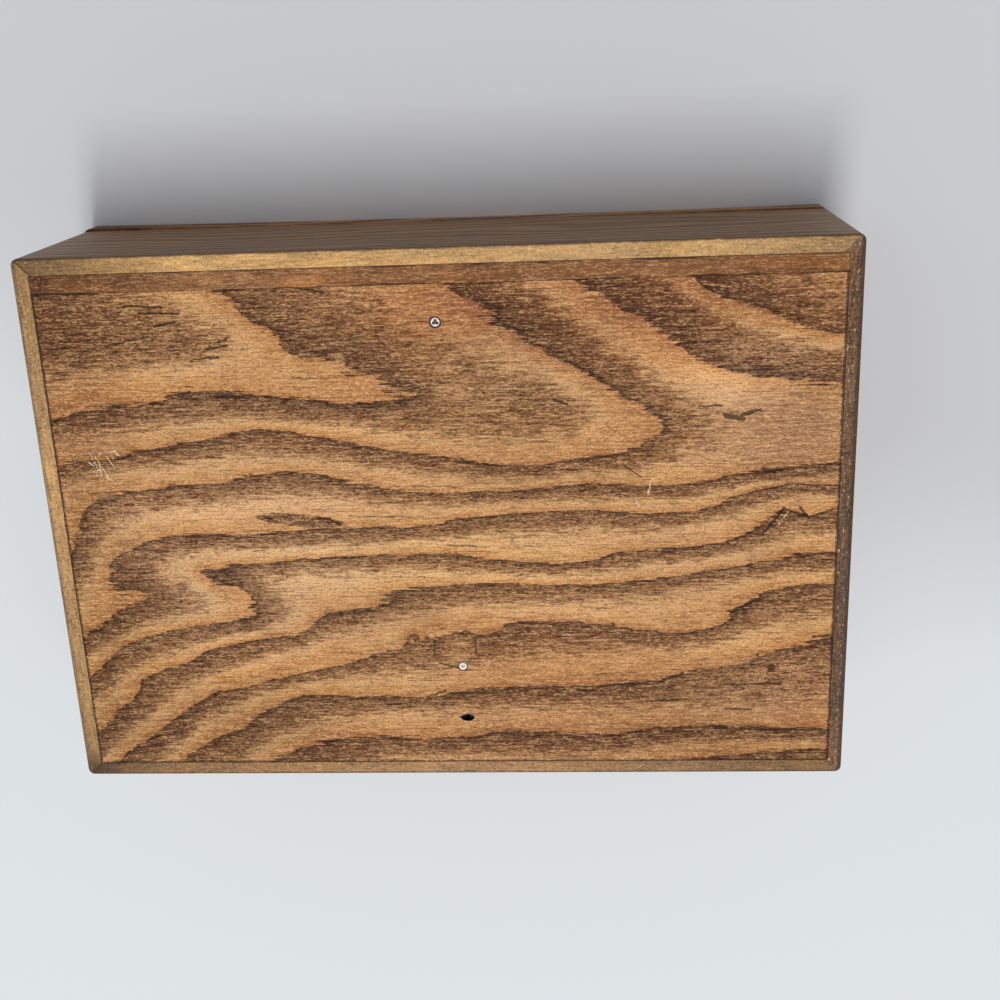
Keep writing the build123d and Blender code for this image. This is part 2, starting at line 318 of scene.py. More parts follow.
# Growth rings on the underside, as lines of one ring value each. A whole value is the sharp
# edge where pale late wood meets the next year's dark early wood, and a half value is where the
# early wood fades. Points are millimetres from the box's middle: x to the right, y to the hinges.
ring_lines = [
    (0.25, [(-96, -54), (-85, -53), (-74, -52), (-64, -50)]),
    (0.5, [(-97, -41.5), (-85, -43), (-75, -43), (-62, -44.5), (-53, -46), (-50.5, -49), (-58, -54),
        (-68, -60), (-80, -66)]),
    (0.8, [(-90, -38), (-70, -40), (-50, -41), (-30, -39), (-45, -52), (-56, -60)]),
    (1, [(-60, -70), (-52, -62), (-48.5, -59), (-45.5, -54.5), (-38, -50.5), (-41, -47.3), (-36, -45.2),
        (-25, -44), (-21, -41.5), (-13, -39.8), (-13.5, -37.6), (-4.5, -34.8), (-13, -33), (-22, -32.6),
        (-31, -34), (-45, -35.5), (-58, -37), (-65, -35.8), (-70, -34), (-80, -33.4), (-90, -32),
        (-98, -29.5)]),
    (1.5, [(-98, -25.5), (-88, -27), (-76, -27.5), (-62, -29.5), (-50, -30), (-34, -28.5), (-20, -27.5),
        (-10, -25.5), (4, -24), (18, -23.5), (31, -25), (36, -30), (27, -37), (14, -41.5), (2, -45),
        (-8, -49.5), (-16, -56), (-24, -63), (-32, -70)]),
    (1.42, [(0, -36), (10, -33), (22, -31), (-4, -41)]),
    (1.8, [(-8, -70), (-2, -60), (6, -52), (18, -46), (28, -40.5), (38, -33.5), (46, -27), (42, -22),
        (30, -19.5), (14, -19)]),
    (2, [(-4, -70), (4.5, -61), (4.5, -59), (11, -57), (15.8, -53.6), (12.5, -51.8), (18, -50.5),
        (24, -46), (31, -42), (38, -38), (44, -33.8), (50, -30.3), (55.8, -25.4), (50, -21), (44, -18.2),
        (34, -17.5), (25, -15.8), (15, -16), (8, -17.3), (0, -19), (-12, -20.3), (-22, -22.5),
        (-33, -25.2), (-45, -26.8), (-55, -25.3), (-66, -23), (-78, -21.3), (-85, -19.3), (-94, -19.3),
        (-98, -17)]),
    (2.5, [(-98, -13.5), (-88, -16.5), (-78, -17.8), (-64, -19), (-48, -20.5), (-34, -19.3), (-20, -17.5),
        (-6, -15.3), (8, -13.6), (22, -12.7), (36, -14.3), (48, -14.8), (58, -17.5), (66, -24), (62, -30),
        (54, -36), (46, -42), (38, -48), (30, -55), (22, -61), (12, -70)]),
    (3, [(26, -70), (33, -62), (38, -59.5), (42, -56.5), (46, -54), (52, -51), (56, -47.5), (60, -43.2),
        (67, -40), (74, -37.6), (84, -36.6), (90, -35.3), (98, -34.8)]),
    (2.8, [(98, -30), (86, -30), (74, -33), (66, -37)]),
    (2.7, [(98, -22), (84, -21), (72, -21)]),
    (3, [(98, -15.5), (90, -14.8), (81, -13.6), (73, -12.8), (66, -11.2), (57, -10), (48, -10.2),
        (38, -11), (30, -10.6), (22, -9.6), (10, -9.3), (0, -8.8), (-10, -10), (-18, -10.9), (-25, -13),
        (-30, -14.8), (-40, -15.6), (-49, -14.8), (-56, -12.8), (-66, -12.2), (-73, -11.7), (-80, -10.8),
        (-87, -9.8), (-92, -6.5), (-94, -2), (-96, 3), (-98, 8)]),
    (3.5, [(-98, 16), (-93, 12), (-90, 4), (-86, -2), (-78, -6), (-66, -7.5), (-52, -8.5), (-40, -10),
        (-28, -9.5), (-14, -6.8), (0, -6), (14, -6.4), (28, -7), (44, -7), (58, -6.6), (68, -8.3),
        (80, -11), (98, -12)]),
    (3.5, [(98, -42), (86, -45), (76, -48), (68, -51.5), (60, -57), (54, -62), (46, -70)]),
    (4, [(54, -70), (61, -62), (65, -58), (71, -55.5), (78, -54), (83, -51), (90, -48), (98, -46.5)]),
    (4.5, [(70, -70), (76, -64), (86, -59), (98, -55)]),
    (4, [(98, -9.5), (86, -10.2), (78, -8.6), (71, -6.5), (67.5, -4.2), (60, -3), (50, -2.8), (38, -4),
        (26, -4), (14, -3), (3, -2.6), (-1, -1), (-8, -0.4), (-20, -0.4), (-34, -0.1), (-46, 1.1),
        (-58, 0.9), (-70, 1), (-78, 3), (-84, 5.6), (-88.7, 8.8), (-86, 10.4), (-89, 13.4), (-85, 15.6),
        (-77.5, 18), (-82, 19.6), (-87, 22), (-92, 26), (-98, 29.6)]),
    (3.8, [(-50, -3.6), (-40, -4.2), (-30, -3.6), (-20, -3)]),
    (4.5, [(-98, 35), (-90, 30), (-80, 25.5), (-70, 23), (-63, 20.5), (-68, 15.5), (-76, 10.5),
        (-72, 6.5), (-60, 5), (-46, 5), (-30, 4), (-14, 3.5), (2, 2.6), (16, 1.5), (32, 0.5), (48, 1),
        (60, 0.5), (70, -2), (80, -5), (90, -7.5), (98, -7)]),
    (5, [(98, -4), (91, -1.5), (84.5, -4), (80, -0.5), (76, 2.6), (70, 5.2), (62, 6.4), (50, 6.8),
        (43, 7.4), (38, 9.5), (28, 10.4), (20, 10), (10, 8.4), (2, 6.9), (-12, 7.2), (-24, 7.2),
        (-36, 7.7), (-45, 9), (-56, 9.1), (-64.5, 10.6), (-60.5, 14), (-54, 15.5), (-50.6, 18),
        (-51.5, 20.5), (-49.6, 23.6), (-58, 25.3), (-70, 26.7), (-79, 28.8), (-87, 31.6), (-92, 36.5),
        (-98, 42)]),
    (5.5, [(-98, 49), (-90, 42), (-82, 36.5), (-74, 33.5), (-62, 30), (-50, 27.5), (-42, 24.5),
        (-43, 18.5), (-49, 13.5), (-40, 12), (-24, 11.3), (-8, 11), (8, 12), (22, 13), (36, 12.8),
        (50, 10.5), (64, 9.5), (76, 7), (86, 3), (98, 2)]),
    (6, [(98, 8.2), (88, 8.7), (80, 10.4), (70, 12.3), (58, 14), (48, 15.2), (38, 16), (26, 15.9),
        (14, 15.2), (3, 15.4), (-8, 16.4), (-14.5, 17.2), (-17, 18.6), (-14.2, 20.5), (-23, 22.2),
        (-33, 23.6), (-36, 26.5), (-39.5, 29.4), (-50, 30.3), (-60, 32.1), (-66.5, 34), (-69, 36.6),
        (-77, 38.8), (-83.5, 41.8), (-84, 45.5), (-90, 50.2), (-98, 58)]),
    (6.5, [(-98, 66), (-88, 56), (-80, 49.5), (-72, 44), (-62, 39.3), (-52, 36.3), (-40, 33), (-30, 28.5),
        (-18, 25), (0, 21.5), (16, 20.6), (34, 20), (50, 19), (64, 17), (76, 14.5), (98, 12.5)]),
    (6.8, [(-60, 40.8), (-70, 46), (20, 24.3), (55, 27), (66, 22), (78, 16.5)]),
    (7, [(98, 16.5), (88, 17), (80, 18.8), (75.5, 21.8), (71.3, 24.6), (72, 26.6), (66, 28.9), (59, 29.9),
        (50, 28.9), (42, 27.3), (32, 26.2), (18, 25.8), (6, 26), (0, 27.4), (-7, 28.9), (-12, 30),
        (-12.4, 33.2), (-18, 33.9), (-30, 35.7), (-42, 38.4), (-54, 41), (-61, 43.6), (-66, 47),
        (-74, 52), (-82, 58.5), (-90, 63.5), (-97, 70)]),
    (6.75, [(-13.6, 32.3), (-20, 32.6)]),
    (7.25, [(-10.9, 34.5), (-10.9, 31.2), (-4, 31), (4, 29.2)]),
    (7.5, [(-84, 68), (-76, 61), (-68, 55), (-60, 49.3), (-50, 45.3), (-38, 42.7), (-26, 41), (-14, 39.7),
        (0, 38.6), (12, 36), (26, 33.5), (42, 33), (58, 33.8), (70, 32), (82, 27), (98, 24)]),
    (8, [(98, 31), (90, 33.4), (83, 35), (76, 38), (69, 39.8), (61, 40), (58, 42.2), (50, 43.8),
        (38, 44.5), (22, 44.5), (8, 44.8), (0, 46.2), (-7, 47.9), (-17, 47), (-32, 46.7), (-41, 46.6),
        (-47, 49.6), (-53, 52.5), (-57, 56.6), (-64, 58.8), (-70, 62.3), (-76, 67.5)]),
    (8.5, [(-62, 68), (-54, 62), (-46, 57), (-36, 54), (-22, 52), (-8, 51), (6, 50.5), (22, 50),
        (38, 49.5), (54, 49.5), (70, 49.5), (84, 49), (98, 46)]),
    (9, [(98, 57.5), (88, 57.2), (74, 56.6), (62, 56.4), (51, 56.9), (44, 58.8), (32, 58.7), (20, 58),
        (12, 57.5), (6, 59.2), (-8, 59.8), (-18, 59), (-32, 59.4), (-39, 61.6), (-46, 63.6), (-51, 67)]),
    (9.5, [(-30, 68), (-14, 65), (6, 64), (26, 64), (44, 63.2), (60, 61), (80, 60.5), (98, 61.5)]),
    (10, [(98, 63.5), (84, 64), (76, 65), (66, 65.6), (56, 67.5), (40, 70)]),
]
ring_point_gap = 2.5
ring_smoothing = 0.05
panel_cell = 1.2
ring_shift_through_panel = 0.06
places_at_once = 4000

# Cracks, checks and scratches in the underside: start, end and half width in millimetres
dark_cracks = [
    ((79.5, 3.2), (84.6, -3.6), 0.32), ((84.6, -3.6), (89, -1.6), 0.18),
    ((88.4, -3.8), (90.8, -0.8), 0.34), ((-75, -58.2), (-66, -57.8), 0.3),
    ((-71.5, -56.4), (-61.5, -56.1), 0.26), ((-68, -53), (-63, -54.2), 0.24),
    ((-92, -49.9), (-84, -49.8), 0.2), ((-56, -47.2), (-50.5, -47.9), 0.3),
    ((-60, -44.6), (-53, -45), 0.26), ((-52.5, -48.9), (-50.2, -49.8), 0.26),
    ((-67.5, -35.4), (-61, -36.6), 0.3), ((-56, -35.3), (-48, -34.9), 0.24),
    ((-33, -61.6), (-26, -60.3), 0.3), ((28.5, -32.6), (31.5, -31.4), 0.34),
    ((70, -27.7), (74, -26.8), 0.7), ((73.5, -27.6), (78, -29), 0.42), ((63.5, -29.9), (69, -30.3), 0.22),
    ((79, -14), (82, -13.3), 0.42), ((-47, 1.3), (-43, 0.9), 0.26), ((-80, 11.6), (-75, 10.6), 0.22),
    ((-79, -49), (-70, -50.6), 0.16), ((-74.5, -33.4), (-68, -33.9), 0.2), ((33, 45.8), (37, 45.9), 0.3),
    ((48, 67), (51, 66.9), 0.2), ((68, 56.8), (71.5, 57.1), 0.42), ((75.2, 57.4), (84, 57.9), 0.26),
    ((72.4, 44.4), (85, 44.5), 0.22), ((53, 48.9), (61, 48.7), 0.22), ((71.1, 51.5), (77.6, 51.7), 0.24),
    ((42, 44.2), (55, 43.4), 0.24), ((55, 43), (60.2, 41.4), 0.36), ((72.4, 23.8), (77, 21.6), 0.4),
    ((93, 31.2), (97, 30.8), 0.34), ((85.6, 41.5), (86.8, 41.2), 0.22),
    ((-91.7, -61.6), (-80.8, -61.4), 0.2), ((-36, 60.7), (-31, 60.2), 0.22),
    # the line from (1.6, 53.4) to (3.4, 53.5) is painted shade in the lost nail's hole
    ((1.6, 53.4), (3.4, 53.5), 0.4), ((-3.6, -52.6), (-1.2, -52.5), 0.16),
    ((2.2, -52.5), (4.6, -52.6), 0.12), ((-54, -61.2), (-46, -61.5), 0.2),
    ((45.2, -15.6), (49.5, -12.4), 0.16), ((-84, -18.8), (-78, -20.6), 0.2),
    ((-82.6, 59.4), (-75, 57.2), 0.14), ((-18, 49.6), (-14, 49.5), 0.24), ((-7, 47.6), (-2, 45.6), 0.26),
    ((-32, -3.2), (-28.8, -2.7), 0.34), ((-28.6, -2.3), (-26.2, -1.2), 0.28),
    ((-45.4, -3.3), (-44, -3.2), 0.2),
]
thin_lines = [
    ((-12, -11.2), (6, -10.6), 0.12), ((-24, -3.4), (-5, -2.9), 0.12), ((0, 4.8), (11, 5.4), 0.14),
    ((18, 5.6), (25, 5.4), 0.12), ((-30, 12.9), (-21, 13.1), 0.13), ((-14, 13), (-3, 13.6), 0.14),
    ((-88, -33.4), (-77, -33.2), 0.12), ((-90, -10.6), (-80, -11.2), 0.12),
    ((-40, -39.6), (-26, -39), 0.11), ((20, 30.8), (38, 30.2), 0.12), ((-44, 42.8), (-30, 41.6), 0.11),
    ((30, 41.4), (48, 40.8), 0.12), ((6.5, 31.3), (6.6, 34.8), 0.22), ((-4.1, 31), (-4.3, 35.6), 0.24),
    ((-3.1, 37.6), (2, 39.2), 0.3),
]
pale_scratches = [
    ((-89.6, -19.4), (-88, -18), 0.15), ((-87.4, -20.6), (-84.6, -15), 0.12),
    ((-86, -21), (-81.4, -22), 0.1), ((-86.6, -18.2), (-86.2, -15.4), 0.13),
    ((-85, -14.8), (-83.4, -13.9), 0.15), ((-82, -21.6), (-80.8, -20.2), 0.15),
    ((-88.6, -21.4), (-87, -17.2), 0.1), ((-84.4, -20.4), (-82.6, -17.4), 0.12),
    ((-88.4, -16.4), (-84, -17.6), 0.1), ((-83.2, -19.4), (-81.2, -21), 0.1),
    ((52.4, -12), (51, -8.4), 0.15), ((51.4, -8.6), (50.8, -7.2), 0.16), ((48.2, -6.8), (49, -4.4), 0.12),
    ((83, 1.2), (85.6, -2.6), 0.12),
]
knot_spots = [
    ((82.6, 39.8), 1.05), ((42.2, 27.1), 0.5), ((88.3, 59.7), 0.35), ((79, 36), 0.45), ((74, 30.1), 0.4),
]
# radii of the dark rings of rust and painted shade round the nail heads
nail_shade_and_rust_radii = (1.52, 1.3)
# the lost nail's hole, which is filled with painted shade
lost_nail_middle = (3.5, 53.6)
lost_nail_half = (1.8, 1)

# Soft patches where the bands fade into one tone: middle, half sizes in millimetres and how much
faded_patches = [((80, 46), (30, 11), 0.7), ((80, -25), (30, 13), 0.4), ((-86, -6), (14, 26), 0.3)]

# Soft patches where the stain took darker, redder or paler: middle, half sizes in millimetres, and
# how much brighter or darker red, green and blue show there
stain_patches = [
    ((18, -60), (50, 20), (0.87, 0.8, 0.72)), ((74, -61), (38, 16), (0.85, 0.77, 0.7)),
    ((-2, -55), (20, 15), (0.95, 0.88, 0.78)), ((46, -50), (30, 14), (0.96, 0.91, 0.84)),
    ((-94, -40), (20, 34), (0.83, 0.79, 0.78)), ((-54, 6), (42, 34), (1.06, 1.1, 1.2)),
    ((-6, 9), (60, 14), (1.09, 1.12, 1.12)), ((30, -20), (36, 15), (0.93, 0.9, 0.84)),
    ((86, -20), (24, 16), (0.88, 0.86, 0.88)), ((-94, 24), (16, 46), (0.89, 0.88, 0.86)),
    ((44, 60), (60, 18), (0.86, 0.81, 0.76)), ((-66, 62), (44, 18), (0.88, 0.87, 0.87)),
    ((30, 38), (44, 14), (0.92, 0.87, 0.8)), ((64, 9), (18, 11), (1.07, 1.08, 1.13)),
    ((76, -38), (18, 10), (1.18, 1.24, 1.38)), ((-32, 60), (16, 9), (0.92, 0.88, 0.86)),
    ((-60, -34), (18, 16), (1.04, 1.06, 1.1)), ((4, -30), (14, 8), (1.08, 1.1, 1.1)),
    ((92, 50), (11, 13), (0.93, 0.88, 0.85)),
]

# Flat lens of early wood between two rings: its middle and half sizes in millimetres and how far it
# is turned in degrees
lens_middle = (-36.5, -2.5)
lens_half = (11.2, 1.6)
lens_turn = (0, 0, -6.5)

# Dents in the nail heads: place from the head's middle, radius and depth in millimetres
front_dents = [
    (0.02, -0.36, 0.42, 0.3), (-0.38, 0.2, 0.42, 0.3), (0.42, 0.22, 0.42, 0.3), (0, 0, 0.3, 0.2),
]
rear_dents = [(-0.2, 0.15, 0.4, 0.07), (0.3, -0.1, 0.35, 0.06)]
nail_cell = 0.11
dent_reach = 0.05


def even_points(line):
    """Points at even gaps along a line of points."""
    line = np.array(line, dtype=float)
    travelled = np.concatenate([[0], np.cumsum(np.hypot(*np.diff(line, axis=0).T))])
    count = max(2, int(travelled[-1] / ring_point_gap) + 1)
    steps = np.linspace(0, travelled[-1], count)
    return np.stack([np.interp(steps, travelled, line[:, axis]) for axis in (x_axis, y_axis)], axis=1)


def distances(points, centres):
    """Distance from each point to each centre."""
    return np.linalg.norm(points[:, None] - centres[None], axis=2)


def ring_field():
    """Function that gives the ring value at points, smoothly through the ring lines."""
    centres, values = [], []
    for value, line in ring_lines:
        points = even_points(line)
        centres.append(points)
        values.append(np.full(len(points), float(value)))
    centres = np.concatenate(centres)
    values = np.concatenate(values)
    count = len(centres)
    plane_terms = np.c_[np.ones(count), centres]
    system = np.zeros((count + 3, count + 3))
    system[:count, :count] = distances(centres, centres) - ring_smoothing * np.eye(count)
    system[:count, count:] = plane_terms
    system[count:, :count] = plane_terms.T
    weights = np.linalg.solve(system, np.r_[values, 0, 0, 0])

    def value_at(points):
        near = distances(points, centres) @ weights[:count]
        return near + np.c_[np.ones(len(points)), points] @ weights[count:]
    return value_at


def assign(node, material):
    """Give a CAD node its material."""
    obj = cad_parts[node]
    obj.data.materials.clear()
    obj.data.materials.append(material)


def new_piece(name, mesh, body, node, material):
    """Piece that stands for a CAD node and rides on its body."""
    mesh.materials.clear()
    mesh.materials.append(material)
    obj = bpy.data.objects.new(name, mesh)
    bpy.context.collection.objects.link(obj)
    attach(obj, body)
    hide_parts(node)


def cut_in_cells(node, low, high, cell):
    """Copy of a CAD node's mesh, cut by planes across X and Y into cells between two corners."""
    copy = bmesh.new()
    copy.from_mesh(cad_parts[node].data)
    for axis in (x_axis, y_axis):
        normal = Vector((0, 0, 0))
        normal[axis] = 1
        count = round((high[axis] - low[axis]) / (cell * millimetre))
        for number in range(1, count):
            middle = Vector((0, 0, 0))
            middle[axis] = low[axis] + (high[axis] - low[axis]) * number / count
            geometry = copy.verts[:] + copy.edges[:] + copy.faces[:]
            bmesh.ops.bisect_plane(copy, geom=geometry, plane_co=middle, plane_no=normal)
    return copy


def mesh_of(name, shape):
    """Mesh made from a bmesh, which is freed."""
    mesh = bpy.data.meshes.new(name)
    shape.to_mesh(mesh)
    shape.free()
    return mesh


def bottom_board(material):
    """Bottom panel cut into small cells that carry the ring value, with the nail holes as they are."""
    shape = cut_in_cells("bottom_panel", panel_low, panel_high, panel_cell)
    under = {edge for face in shape.faces if face.normal.z < -0.5 for edge in face.edges}
    bmesh.ops.subdivide_edges(shape, edges=list(under), cuts=1, use_grid_fill=True)
    mesh = mesh_of("bottom_board", shape)
    places = np.empty(len(mesh.vertices) * 3)
    mesh.vertices.foreach_get("co", places)
    places = places.reshape(-1, 3) / millimetre
    value_at = ring_field()
    values = np.empty(len(places), dtype=np.float32)
    for start in range(0, len(places), places_at_once):
        part = slice(start, start + places_at_once)
        values[part] = value_at(places[part, :2])
    values += places[:, 2] * ring_shift_through_panel
    mesh.attributes.new("ring", "FLOAT", "POINT").data.foreach_set("value", values)
    new_piece("bottom_board", mesh, "box", "bottom_panel", material)


def punched_nail(node, dents, material):
    """Nail with the dents of a punch in its head, each given as its place, radius and depth."""
    low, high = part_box(node)
    shape = cut_in_cells(node, low, high, nail_cell)
    middle = (low + high) / 2
    head_top = low.z + dent_reach * millimetre
    for vertex in shape.verts:
        if vertex.co.z > head_top:
            continue
        offset = (vertex.co - middle) / millimetre
        sunk = 0
        for x, y, radius, depth in dents:
            away = math.hypot(offset.x - x, offset.y - y) / radius
            sunk = max(sunk, depth * max(0, 1 - away * away))
        vertex.co.z += sunk * millimetre
    name = f"{node}_punched"
    new_piece(name, mesh_of(name, shape), "box", node, material)


def stroke(graph, place, start, end, half_width):
    """Mask of a line between two points, 1 in its middle."""
    start, end = Vector((*start, 0)), Vector((*end, 0))
    run = end - start
    offset = graph.vector("SUBTRACT", place, start)
    along = graph.measure("DOT_PRODUCT", offset, run / run.length_squared)
    along = graph.add("ShaderNodeClamp", {"Value": along}).outputs["Result"]
    nearest = graph.add("ShaderNodeVectorMath", {0: run, "Scale": along}, operation="SCALE")
    away = graph.measure("DISTANCE", offset, nearest.outputs["Vector"])
    return graph.fade(away, half_width * stroke_edge[0], half_width * stroke_edge[1])


def spot(graph, place, middle, radius):
    """Mask of a round spot, 1 in its middle."""
    away = graph.measure("DISTANCE", place, (*middle, 0))
    return graph.fade(away, radius * spot_edge[0], radius * spot_edge[1])


def oval(graph, place, middle, half):
    """How far a place lies from the middle of an oval, as a share of its half sizes."""
    offset = graph.vector("SUBTRACT", place, (*middle, 0))
    share = graph.vector("MULTIPLY", offset, (1 / half[0], 1 / half[1], 0))
    return graph.measure("LENGTH", share)


def patched(graph, place, colour):
    """Colour with the soft patches where the bands fade and of uneven stain."""
    for middle, half, amount in faded_patches:
        share = graph.fade(oval(graph, place, middle, half), *patch_edge, 0, amount)
        colour = graph.mix(share, colour, faded_wood)
    for middle, half, shown in stain_patches:
        tint = (*[part ** screen_gamma for part in shown], 1)
        share = graph.fade(oval(graph, place, middle, half), *patch_edge)
        colour = graph.mix(share, colour, tint, "MULTIPLY")
    return colour


def most(graph, masks):
    """The largest of several masks."""
    return reduce(graph.larger, masks)


def fibres(graph, place, along, length, width, detail=3, roughness=0.6, shift=(0, 0, 0), twist=0):
    """Noise drawn out along one axis, with the length and width of its grains in millimetres."""
    stretch = [width, width, width]
    stretch[along] = length
    return graph.noise(place, stretch, detail, roughness, shift, twist)


def ring_tones(graph, ring, place, along, contrast=1):
    """Colour, darkness and ring phase of stained softwood from its ring value.

    The early wood is dark just past each sharp ring edge, fades through a pale line and ends in
    the even tone of the late wood. Its fibres run along one axis.
    """
    bite = graph.level(fibres(graph, place, along, 16, 7, 2, 0.5, (4, 6, 9)), 0.35, 0.65, 0.25, 1.6)
    teeth = graph.level(fibres(graph, place, along, 7, 0.8, 4, 0.6, twist=0.3), 0, 1, -0.15, 0.15)
    value = graph.plus(ring, graph.times(teeth, bite))
    phase = graph.math("FRACT", value)
    ragged = graph.level(fibres(graph, place, along, 5, 0.8, 4, 0.7, (7, 3, 1)), 0.25, 0.75, -0.26, 0.26)
    inner = graph.times(graph.times(phase, graph.minus(1, phase)), 4)
    fading = graph.plus(phase, graph.times(ragged, inner))
    colour = graph.ramp(fading, ring_stops)
    dark = graph.fade(fading, 0.66, 0.3)
    if contrast < 1:
        colour = graph.mix(contrast, middle_wood, colour)
    return colour, dark, phase


def flecked(graph, colour, dark, place, along, strength=1):
    """Colour with dark and pale fibre flecks, hairlines and clouds, and the texture behind them."""
    fleck = fibres(graph, place, along, 1.1, 0.34, 2, 0.55, (1, 5, 2), 0.7)
    streak = fibres(graph, place, along, 7, 0.55, 3, 0.65, (3, 1, 8), 0.2)
    blotch = fibres(graph, place, along, 4.5, 1.4, 3, 0.6, (6, 2, 4), 0.8)
    texture = graph.plus(graph.times(fleck, fleck_share), graph.times(streak, streak_share))
    texture = graph.plus(texture, graph.times(blotch, blotch_share))
    sunk = graph.fade(texture, 0.505, 0.41, 0, strength)
    sunk = graph.times(sunk, graph.level(dark, 0, 1, 0.5, 0.97))
    raised = graph.fade(texture, 0.5, 0.59, 0, strength)
    raised = graph.times(raised, graph.level(dark, 0, 1, 0.7, 0.55))
    hair = fibres(graph, place, along, 18, 0.34, 2, 0.5, (2, 9, 6), 0.1)
    hair = graph.fade(hair, 0.58, 0.68, 0, hair_cover * strength)
    colour = graph.mix(sunk, colour, fibre_dark)
    colour = graph.mix(raised, colour, fibre_light)
    colour = graph.mix(hair, colour, hair_colour)
    speck = graph.noise(place, (0.5, 0.38, 0.4), 1, 0.5, (4, 4, 2))
    cloud = fibres(graph, place, along, 40, 14, 2, 0.5, (9, 4, 2))
    spread = speck_spread * strength
    speck = graph.level(speck, 0.25, 0.75, 1 - spread, 1 + spread)
    shade = graph.times(graph.level(cloud, 0.25, 0.75, 0.88, 1.12), speck)
    return graph.shaded(colour, shade), texture


def wandering(graph, place):
    """Small sideways shift that makes drawn marks ragged."""
    shift = graph.level(graph.noise(place, (2.2, 0.8, 1), 2, 0.6), 0.3, 0.7, -0.26, 0.26)
    return graph.add("ShaderNodeCombineXYZ", {"X": shift, "Y": shift}).outputs["Vector"]


def early_lens(graph, ragged):
    """Mask of the flat lens of early wood."""
    from_middle = graph.vector("SUBTRACT", ragged, (*lens_middle, 0))
    return graph.fade(oval(graph, graph.turned(from_middle, lens_turn), (0, 0), lens_half), *lens_edge)


def torn_fibres(graph, place, phase, dark):
    """Mask of fibres torn out of the early wood, most of them just past a ring edge."""
    tear = fibres(graph, place, x_axis, 4.5, 0.5, 3, 0.6, (2, 2, 2))
    near_edge = graph.fade(phase, 0.22, 0.02)
    patches = graph.level(fibres(graph, place, x_axis, 14, 5, 2, 0.5, (1, 8, 3)), 0.35, 0.65, -0.02, 0.14)
    tear = graph.plus(tear, graph.times(near_edge, patches))
    return graph.times(graph.fade(tear, 0.6, 0.72), graph.level(dark, 0, 1, 0.15, 1))


def dark_brink(graph, place, phase):
    """Mask of the dark line that follows the ring edges here and there."""
    share = graph.level(fibres(graph, place, x_axis, 22, 6, 2, 0.5, (3, 3, 7)), 0.4, 0.62, 0, 0.8)
    return graph.times(graph.fade(phase, 0.13, 0.01), share)


def drawn_scratches(graph, place, ragged):
    """Mask of the pale scratches, broken up by grit."""
    scratches = most(graph, [stroke(graph, ragged, *scratch) for scratch in pale_scratches])
    grit = graph.fade(graph.noise(place, (0.9, 0.9, 0.9), 2, 0.6, (5, 5, 5)), 0.38, 0.46)
    return graph.times(scratches, grit)


def nail_shade_and_rust(graph, flat):
    """Mask of the dark rings round the nail heads: rust stain, and painted shade of the gap round each
    sunken head.
    """
    nails = [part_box(name) for name in ("front_nail", "rear_nail")]
    middles = [(low + high) / 2 / millimetre for low, high in nails]
    return most(graph, [spot(graph, flat, (middle.x, middle.y), radius)
                        for middle, radius in zip(middles, nail_shade_and_rust_radii)])


def panel_seam(graph, place, x, y):
    """Mask of the dirty seam round the bottom panel, which has none beside the filler strip."""
    from_left = graph.minus(x, panel_low.x / millimetre)
    from_right = graph.minus(panel_high.x / millimetre, x)
    from_back = graph.minus(panel_high.y / millimetre, y)
    edge = graph.smaller(graph.smaller(from_left, from_right), graph.plus(from_back, 0.1))
    uneven = graph.level(graph.noise(place, (0.9, 0.9, 1), 3, 0.7), 0.3, 0.7, -0.35, 0.35)
    return graph.fade(graph.minus(edge, uneven), *seam_reach)


def underside_wood():
    """Bottom panel: stained softwood with bold flat-sawn grain, cracks, scratches, dark rings of rust and
    painted shade round the nails, and painted shade in the lost nail's hole.
    """
    graph = Graph(bpy.data.materials.new("bottom_wood"))
    place = graph.place()
    x, y, _ = graph.axes(place)
    flat = graph.add("ShaderNodeCombineXYZ", {"X": x, "Y": y}).outputs["Vector"]
    ragged = graph.vector("ADD", flat, wandering(graph, place))
    ring = graph.add("ShaderNodeAttribute", attribute_name="ring").outputs["Fac"]
    colour, dark, phase = ring_tones(graph, ring, place, x_axis)
    lens = early_lens(graph, ragged)
    colour = graph.mix(lens, colour, early_wood)
    dark = graph.larger(dark, lens)
    colour, texture = flecked(graph, patched(graph, flat, colour), dark, place, x_axis)

    torn = torn_fibres(graph, place, phase, dark)
    cracks = most(graph, [stroke(graph, ragged, *crack) for crack in dark_cracks])
    lines = most(graph, [stroke(graph, ragged, *line) for line in thin_lines])
    knots = most(graph, [spot(graph, ragged, *knot) for knot in knot_spots])
    marks = [
        (graph.larger(torn, dark_brink(graph, place, phase)), torn_cover, check_colour),
        (panel_seam(graph, place, x, y), seam_cover, grime_colour),
        (knots, knot_cover, knot_colour),
        (nail_shade_and_rust(graph, flat), nail_shade_and_rust_cover, hole_shade_colour),
        (lines, line_cover, check_colour),
        (cracks, crack_cover, check_colour),
        (drawn_scratches(graph, place, ragged), scratch_cover, scratch_colour),
    ]
    for mask, cover, mark_colour in marks:
        colour = graph.mix(graph.times(mask, cover), colour, mark_colour)
    # painted shade inside the lost nail's hole, which would otherwise render lit
    hole_shade = graph.fade(oval(graph, flat, lost_nail_middle, lost_nail_half), *hole_shade_edge)
    colour = graph.mix(hole_shade, colour, hole_shade_colour)

    relief = graph.minus(texture, graph.times(dark, 0.25))
    relief = graph.minus(relief, graph.times(graph.larger(torn, cracks), 1.2))
    rough = graph.level(dark, 0, 1, 0.46, 0.62)
    return graph.finish(Base_Color=colour, Roughness=rough, Specular_IOR_Level=wood_gloss,
                        Normal=graph.bump(relief, panel_relief))


